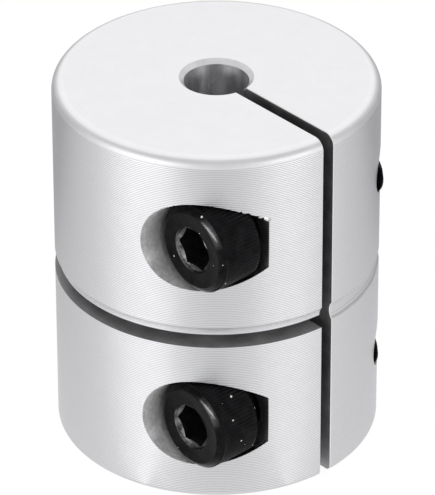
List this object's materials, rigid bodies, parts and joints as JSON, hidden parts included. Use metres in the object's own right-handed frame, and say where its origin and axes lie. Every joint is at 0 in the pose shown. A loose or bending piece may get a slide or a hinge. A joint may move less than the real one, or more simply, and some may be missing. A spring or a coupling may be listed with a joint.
{
  "type": "rigid shaft coupling",
  "caption": "One-piece clamping rigid shaft coupling: slotted round body with a through bore, closed on each shaft end by a cross-axis socket head clamp screw.",
  "frame": {"origin": "centre of the lower end face, on the shaft axis", "axes": "+Z along the shaft bore; the clamp slit opens towards +X; the screw heads are on the -Y side"},
  "size_m": [0.025, 0.025, 0.03],
  "materials": {
    "turned_aluminium": "bright, finely turned, with faint feed lines",
    "black_screw_steel": "black oxide, lightly oiled"
  },
  "bodies": {
    "root": {"coupling_body": "turned_aluminium", "upper_clamp_screw": "black_screw_steel", "lower_clamp_screw": "black_screw_steel"}
  },
  "joints": []
}
